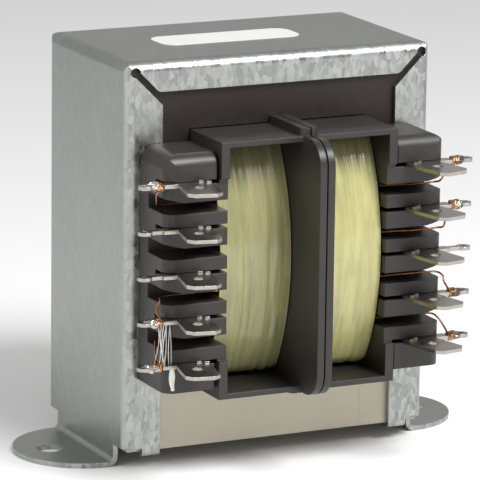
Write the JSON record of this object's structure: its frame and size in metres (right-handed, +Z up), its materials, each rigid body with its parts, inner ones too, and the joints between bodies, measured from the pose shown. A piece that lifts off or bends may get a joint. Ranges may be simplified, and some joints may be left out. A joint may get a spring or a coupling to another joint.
{
  "type": "laminated chassis transformer",
  "caption": "Laminated iron-core transformer in a folded steel channel frame with two mounting feet, split coil formers and combs of solder terminals.",
  "frame": {"origin": "midway between the two mounting holes, on the underside of the feet", "axes": "+X along the line of the mounting holes, towards the secondary side; -Y towards the terminals; +Z up, away from the chassis"},
  "size_m": [0.0946, 0.0823, 0.0812],
  "materials": {
    "zinc_plated_steel": "bright zinc plating with a fine spangle",
    "lamination_steel": "rolled silicon steel, varnished dark brown in the upper part",
    "former_plastic": "black moulded nylon, slightly glossy",
    "copper_wire": "enamelled copper magnet wire",
    "winding_tape": "glossy yellow-green polyester tape over the wire",
    "tinned_terminal": "tin-plated brass",
    "label_film": "plain matt white label"
  },
  "bodies": {
    "root": {"mounting_frame": "zinc_plated_steel", "e_laminations": "lamination_steel", "i_laminations": "lamination_steel", "primary_former": "former_plastic", "secondary_former": "former_plastic", "primary_winding": "copper_wire", "secondary_winding": "copper_wire", "primary_tape": "winding_tape", "secondary_tape": "winding_tape", "primary_terminal_1": "tinned_terminal", "primary_terminal_2": "tinned_terminal", "primary_terminal_3": "tinned_terminal", "primary_terminal_4": "tinned_terminal", "primary_terminal_5": "tinned_terminal", "secondary_terminal_1": "tinned_terminal", "secondary_terminal_2": "tinned_terminal", "secondary_terminal_3": "tinned_terminal", "secondary_terminal_4": "tinned_terminal", "secondary_terminal_5": "tinned_terminal", "primary_lead_1": "copper_wire", "primary_lead_4": "copper_wire", "primary_lead_5": "copper_wire", "secondary_lead_1": "copper_wire", "secondary_lead_2": "copper_wire", "secondary_lead_4": "copper_wire", "secondary_lead_5": "copper_wire", "label": "label_film"}
  },
  "joints": []
}
